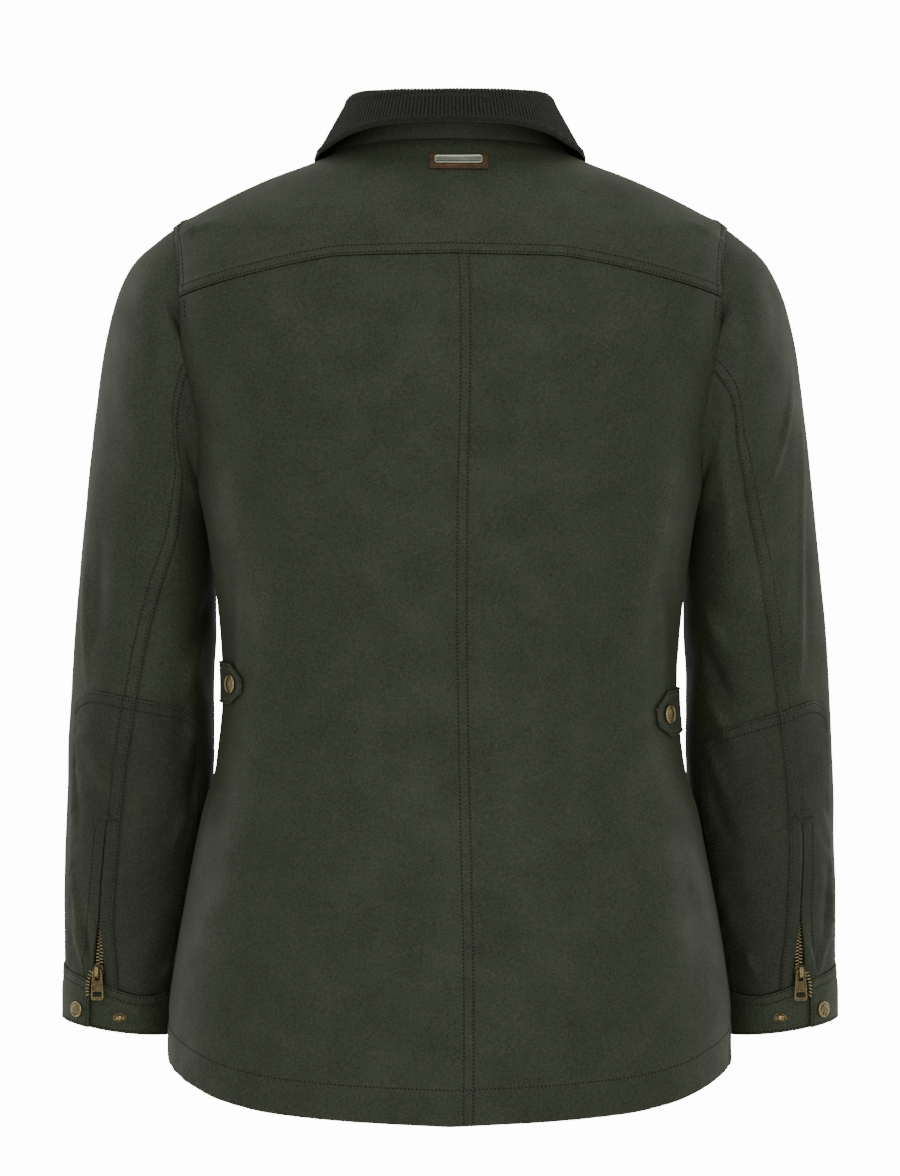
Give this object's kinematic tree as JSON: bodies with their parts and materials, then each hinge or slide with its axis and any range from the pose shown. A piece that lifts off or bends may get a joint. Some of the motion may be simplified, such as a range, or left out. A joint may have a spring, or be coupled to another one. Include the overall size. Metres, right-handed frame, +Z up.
{
  "type": "waxed cotton jacket",
  "caption": "Olive waxed cotton jacket worn open-hollow with no wearer: corduroy turn-down collar, back yoke, patched sleeves, zipped snap cuffs and snapped waist tabs.",
  "frame": {"origin": "between the shoulders at the height of the neck seam, where the wearer carries the jacket", "axes": "+Z up as worn, +Y towards the jacket's back, +X towards the wearer's left"},
  "size_m": [0.6272, 0.2674, 0.8269],
  "materials": {
    "waxed_cotton": "matt waxed cotton, dark olive, fine plain weave",
    "cord": "fine-wale corduroy, near-black green",
    "leather": "brown leather, stitched edge",
    "brass": "antique brass, darkened",
    "nickel": "dull nickel-silver plate",
    "zip_tape": "black-green woven zip tape"
  },
  "bodies": {
    "jacket": {"back_panel_left": "waxed_cotton", "back_panel_right": "waxed_cotton", "back_yoke": "waxed_cotton", "front_panel_left": "waxed_cotton", "front_panel_right": "waxed_cotton", "sleeve_outer_left": "waxed_cotton", "sleeve_outer_right": "waxed_cotton", "sleeve_inner_left": "waxed_cotton", "sleeve_inner_right": "waxed_cotton", "patch_outer_left": "waxed_cotton", "patch_outer_right": "waxed_cotton", "patch_inner_left": "waxed_cotton", "patch_inner_right": "waxed_cotton", "cuff_left": "waxed_cotton", "cuff_right": "waxed_cotton", "collar_top": "cord", "collar_under": "waxed_cotton", "waist_tab_left": "waxed_cotton", "waist_tab_right": "waxed_cotton", "waist_snap_left": "brass", "waist_snap_right": "brass", "cuff_snap_left": "brass", "cuff_snap_right": "brass", "cuff_stud_left": "brass", "cuff_stud_right": "brass", "cuff_zip_left": "zip_tape", "cuff_zip_right": "zip_tape", "cuff_slider_left": "brass", "cuff_slider_right": "brass", "label_leather": "leather", "label_plate": "nickel", "front_zip": "zip_tape", "front_slider": "brass"},
    "cuff_pull_left": {"cuff_pull_left": "brass"},
    "cuff_pull_right": {"cuff_pull_right": "brass"},
    "front_pull": {"front_pull": "brass"}
  },
  "joints": [
    {"name": "cuff_pull_left_hinge", "type": "hinge", "parent": "jacket", "child": "cuff_pull_left", "pos_m": [0.28377, -0.02257, -0.65748], "axis": [0.9105, -0.4136, 0], "range_deg": [-4, 150]},
    {"name": "cuff_pull_right_hinge", "type": "hinge", "parent": "jacket", "child": "cuff_pull_right", "pos_m": [-0.28215, -0.0219, -0.65785], "axis": [0.9232, 0.3843, 0], "range_deg": [-4, 150]},
    {"name": "front_pull_hinge", "type": "hinge", "parent": "jacket", "child": "front_pull", "pos_m": [0, -0.09312, -0.08268], "axis": [-1, 0, 0], "range_deg": [0, 150]}
  ]
}
